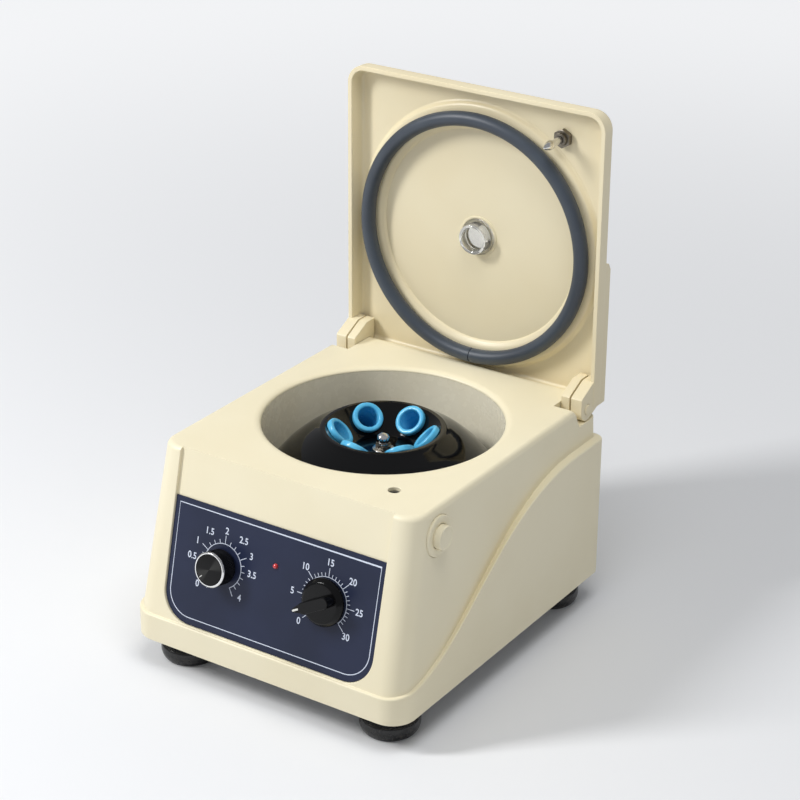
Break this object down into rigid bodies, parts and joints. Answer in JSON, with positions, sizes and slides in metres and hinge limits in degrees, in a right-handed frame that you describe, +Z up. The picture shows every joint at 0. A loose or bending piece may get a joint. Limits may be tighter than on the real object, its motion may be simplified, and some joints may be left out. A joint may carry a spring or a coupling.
{
  "type": "bench centrifuge",
  "caption": "Bench centrifuge with a hinged lid that stands open, a fixed-angle rotor with tube sleeves, and a front panel with speed and timer knobs.",
  "frame": {"origin": "on the bench, under the middle of the object's box with the lid open", "axes": "+Z up, -Y the way the control panel looks, +X the side with the release button"},
  "size_m": [0.2652, 0.3248, 0.4353],
  "materials": {
    "cream_plastic": "satin moulded cream",
    "lid_plastic": "satin moulded cream, warmer inside",
    "black_plastic": "gloss",
    "black_rubber": "smooth",
    "sleeve_plastic": "satin light blue",
    "gasket_rubber": "smooth slate grey",
    "panel_film": "printed dark blue film",
    "bright_steel": "polished",
    "zinc_steel": "zinc plated",
    "dark_steel": "dark plated",
    "brass": "turned",
    "clear_plastic": "clear moulded plastic",
    "red_plastic": "clear red lens",
    "board_laminate": "laminate with fitted pieces"
  },
  "bodies": {
    "housing": {"body_shell": "cream_plastic", "base_plate": "zinc_steel", "foot_front_left": "black_rubber", "foot_front_right": "black_rubber", "foot_rear_left": "black_rubber", "foot_rear_right": "black_rubber", "foot_screw_front_left": "zinc_steel", "foot_screw_front_right": "zinc_steel", "foot_screw_rear_left": "zinc_steel", "foot_screw_rear_right": "zinc_steel", "chamber_bowl": "cream_plastic", "shaft_seal": "black_rubber", "motor": "dark_steel", "motor_plate": "zinc_steel", "damper_1": "black_rubber", "damper_2": "black_rubber", "damper_3": "black_rubber", "control_panel": "panel_film", "power_lamp": "red_plastic", "speed_potentiometer": "zinc_steel", "speed_nut": "zinc_steel", "timer_mechanism": "zinc_steel", "timer_nut": "zinc_steel", "button_collar": "cream_plastic", "button_spring": "bright_steel", "latch_bracket": "zinc_steel", "interlock_switch": "black_plastic", "hinge_tab_left": "zinc_steel", "hinge_tab_right": "zinc_steel", "circuit_board": "board_laminate", "mains_inlet": "black_plastic", "fuse_holder": "black_plastic"},
    "lid": {"lid_shell": "lid_plastic", "lid_gasket": "gasket_rubber", "lid_window": "clear_plastic", "window_nut": "clear_plastic", "latch_pin": "bright_steel", "latch_nut": "dark_steel", "hinge_pin_left": "zinc_steel", "hinge_pin_right": "zinc_steel"},
    "rotor_group": {"rotor": "black_plastic", "rotor_adapter": "brass", "hub_washer": "bright_steel", "hub_nut": "bright_steel", "motor_shaft": "bright_steel", "tube_sleeve_1": "sleeve_plastic", "tube_sleeve_2": "sleeve_plastic", "tube_sleeve_3": "sleeve_plastic", "tube_sleeve_4": "sleeve_plastic", "tube_sleeve_5": "sleeve_plastic", "tube_sleeve_6": "sleeve_plastic"},
    "speed_control": {"speed_knob": "black_plastic", "speed_knob_ring": "bright_steel", "speed_shaft": "zinc_steel"},
    "timer_control": {"timer_knob": "black_plastic", "timer_shaft": "zinc_steel"},
    "release": {"release_button": "cream_plastic", "latch_slide": "bright_steel"}
  },
  "joints": [
    {"name": "lid_hinge", "type": "hinge", "parent": "housing", "child": "lid", "pos_m": [0, 0.13339, 0.183], "axis": [1, 0, 0], "range_deg": [0, 90]},
    {"name": "rotor_spin", "type": "hinge", "parent": "housing", "child": "rotor_group", "pos_m": [0, 0.01389, 0.189], "axis": [0, 0, 1], "continuous": true},
    {"name": "speed_turn", "type": "hinge", "parent": "housing", "child": "speed_control", "pos_m": [-0.0489, -0.1426, 0.1068], "axis": [0, 0.9728, -0.2318], "range_deg": [0, 270]},
    {"name": "timer_turn", "type": "hinge", "parent": "housing", "child": "timer_control", "pos_m": [0.0511, -0.1426, 0.1068], "axis": [0, 0.9728, -0.2318], "range_deg": [-17, 253]},
    {"name": "button_press", "type": "slide", "parent": "housing", "child": "release", "axis": [-1, 0, 0], "range_m": [0, 0.004], "stiffness_N_per_m": 400, "springref_m": -0.003, "deforming": ["button_spring"]}
  ]
}
